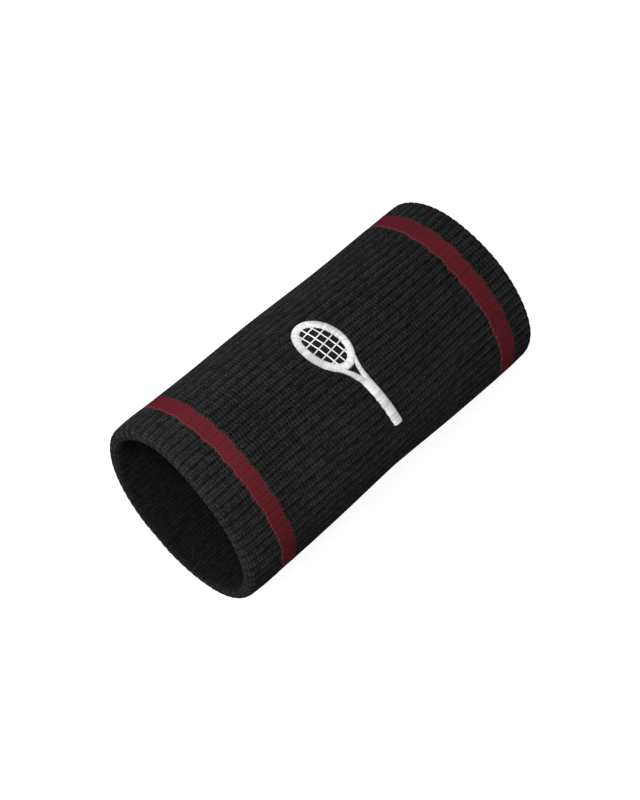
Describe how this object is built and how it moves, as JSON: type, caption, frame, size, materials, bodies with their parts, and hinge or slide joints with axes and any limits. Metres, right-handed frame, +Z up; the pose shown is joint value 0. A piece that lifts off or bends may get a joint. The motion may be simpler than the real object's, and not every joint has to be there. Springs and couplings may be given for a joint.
{
  "type": "double-width sweat wristband",
  "caption": "Rib-knitted sweat wristband: a double-layer elastic tube with folded cuffs, a red stripe near each end and a small embroidered racket.",
  "frame": {"origin": "on the surface the band lies on, under the middle of its bounding box", "axes": "+X along the tube from the deep cuff to the shallow cuff, +Y across it, +Z up, with the embroidered racket on top"},
  "size_m": [0.122, 0.0592, 0.0453],
  "materials": {
    "black_rib_knit": "matt rib knit, cotton and nylon with elastane, black",
    "red_rib_knit": "matt rib knit, cotton and nylon with elastane, dark red",
    "lining_rib_knit": "matt rib knit seen from its back, black",
    "seam_thread": "spun polyester linking thread, black",
    "covered_elastic": "elastane core wrapped in black polyester",
    "satin_thread": "glossy rayon embroidery thread in satin stitch, off-white",
    "backing_felt": "thin non-woven stabiliser, dark grey"
  },
  "bodies": {
    "root": {"deep_cuff": "black_rib_knit", "deep_cuff_stripe": "red_rib_knit", "centre_panel": "black_rib_knit", "shallow_cuff_stripe": "red_rib_knit", "shallow_cuff": "black_rib_knit", "lining_deep_half": "lining_rib_knit", "lining_shallow_half": "lining_rib_knit", "closing_seam": "seam_thread", "deep_cuff_elastic": "covered_elastic", "body_elastic": "covered_elastic", "shallow_cuff_elastic": "covered_elastic", "emblem_hoop": "satin_thread", "emblem_strings": "satin_thread", "emblem_throat": "satin_thread", "emblem_handle": "satin_thread", "emblem_backing": "backing_felt"}
  },
  "joints": []
}
